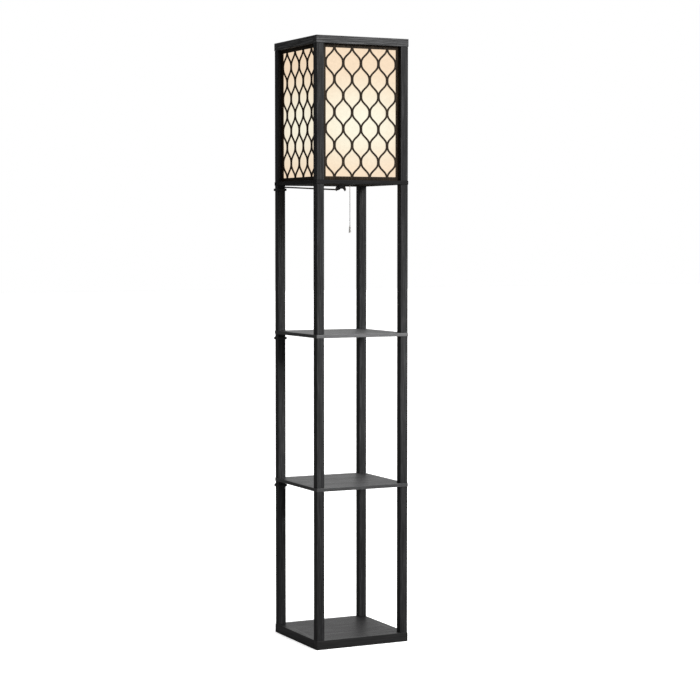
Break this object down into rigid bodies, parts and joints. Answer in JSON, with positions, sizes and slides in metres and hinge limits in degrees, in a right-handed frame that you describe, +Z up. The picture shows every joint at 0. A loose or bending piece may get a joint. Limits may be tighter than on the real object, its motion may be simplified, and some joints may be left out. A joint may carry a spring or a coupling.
{
  "type": "shelf floor lamp",
  "caption": "Tall square floor lamp with open shelves under a lit shade of dark ogee fretwork over linen, worked by a pull chain, with its cord put away behind the base.",
  "frame": {"origin": "middle of the base's underside, on the floor", "axes": "+Z up, -Y towards the front, +X to the right as seen from the front"},
  "size_m": [0.2695, 0.3132, 1.6],
  "materials": {
    "black_laminate": "black wood-grain laminate, satin",
    "shelf_laminate": "black wood-grain laminate, satin",
    "fretwork_board": "dark brown-black stained board, satin",
    "linen_sheet": "off-white linen face, translucent",
    "zinc_steel": "zinc plated",
    "dark_steel": "dark plated",
    "dowel_wood": "plain beech",
    "holder_brass": "satin",
    "dark_phenolic": "moulded, gloss",
    "bulb_cap_metal": "satin",
    "frosted_glass": "frosted white",
    "chain_steel": "bright",
    "bell_plastic": "pale grey-white, satin",
    "tie_rubber": "matte black",
    "cord_rubber": "matte black",
    "plug_plastic": "matte black",
    "blade_brass": "bright"
  },
  "bodies": {
    "frame": {"base_panel": "black_laminate", "base_rail_front": "black_laminate", "base_rail_right": "black_laminate", "base_rail_back": "black_laminate", "base_rail_left": "black_laminate", "top_rail_front": "black_laminate", "top_rail_right": "black_laminate", "top_rail_back": "black_laminate", "top_rail_left": "black_laminate", "lower_post_front_left": "black_laminate", "lower_post_front_right": "black_laminate", "lower_post_back_right": "black_laminate", "lower_post_back_left": "black_laminate", "middle_post_front_left": "black_laminate", "middle_post_front_right": "black_laminate", "middle_post_back_right": "black_laminate", "middle_post_back_left": "black_laminate", "upper_post_front_left": "black_laminate", "upper_post_front_right": "black_laminate", "upper_post_back_right": "black_laminate", "upper_post_back_left": "black_laminate", "shade_post_front_left": "black_laminate", "shade_post_front_right": "black_laminate", "shade_post_back_right": "black_laminate", "shade_post_back_left": "black_laminate", "lower_shelf": "shelf_laminate", "upper_shelf": "shelf_laminate", "shade_floor": "shelf_laminate", "fretwork_front": "fretwork_board", "diffuser_front": "linen_sheet", "fretwork_right": "fretwork_board", "diffuser_right": "linen_sheet", "fretwork_back": "fretwork_board", "diffuser_back": "linen_sheet", "fretwork_left": "fretwork_board", "diffuser_left": "linen_sheet", "base_bolts": "zinc_steel", "joining_studs": "zinc_steel", "top_frame_dowels": "dowel_wood", "wing_nut": "dark_steel", "threaded_nipple": "zinc_steel", "holder_cap": "holder_brass", "holder_shell": "holder_brass", "switch_block": "dark_phenolic", "screw_shell": "holder_brass", "centre_contact": "holder_brass", "chain_spout": "holder_brass", "cord_ties": "tie_rubber", "cord": "cord_rubber", "cord_hank": "cord_rubber", "cord_tail": "cord_rubber", "hank_tie": "tie_rubber", "plug_body": "plug_plastic", "plug_blades": "blade_brass"},
    "bulb": {"bulb_cap": "bulb_cap_metal", "bulb_glass": "frosted_glass"},
    "chain_link": {"chain_link": "chain_steel"},
    "pull_chain": {"pull_chain": "chain_steel", "chain_bell": "bell_plastic"}
  },
  "joints": [
    {"name": "bulb_out", "type": "slide", "parent": "frame", "child": "bulb", "axis": [0, 0, 1], "range_m": [0, 0.345]},
    {"name": "switch_pull", "type": "slide", "parent": "frame", "child": "chain_link", "axis": [0, 0, -1], "range_m": [0, 0.008], "stiffness_N_per_m": 600},
    {"name": "chain_swing", "type": "hinge", "parent": "chain_link", "child": "pull_chain", "pos_m": [0.0275, 0, 1.2285], "axis": [1, 0, 0], "range_deg": [-30, 30]}
  ]
}
